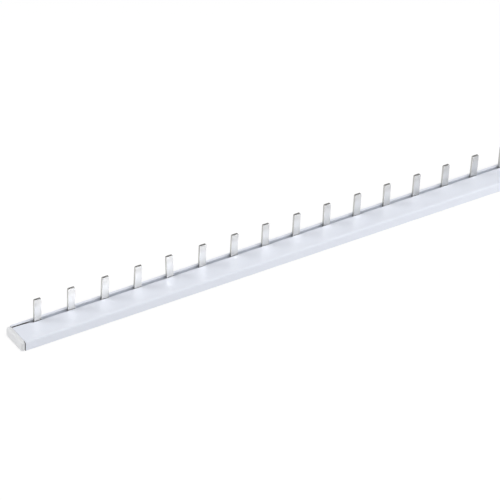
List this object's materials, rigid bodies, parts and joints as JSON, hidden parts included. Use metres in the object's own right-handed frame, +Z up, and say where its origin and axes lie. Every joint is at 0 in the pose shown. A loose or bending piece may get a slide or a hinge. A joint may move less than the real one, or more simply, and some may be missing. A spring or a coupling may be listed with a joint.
{
  "type": "comb busbar",
  "caption": "Single-pole pin-type comb busbar: a bent copper comb in a slotted flat insulating profile, with end caps.",
  "frame": {"origin": "middle of the underside", "axes": "+X along the bar, +Y from the lid's closed front edge to the pins' edge, +Z up along the pins"},
  "size_m": [0.3328, 0.0148, 0.0169],
  "materials": {
    "profile": "satin",
    "comb": "satin",
    "cap": "matte"
  },
  "bodies": {
    "root": {"insulating_profile": "profile", "copper_comb": "comb", "left_end_cap": "cap", "right_end_cap": "cap"}
  },
  "joints": []
}
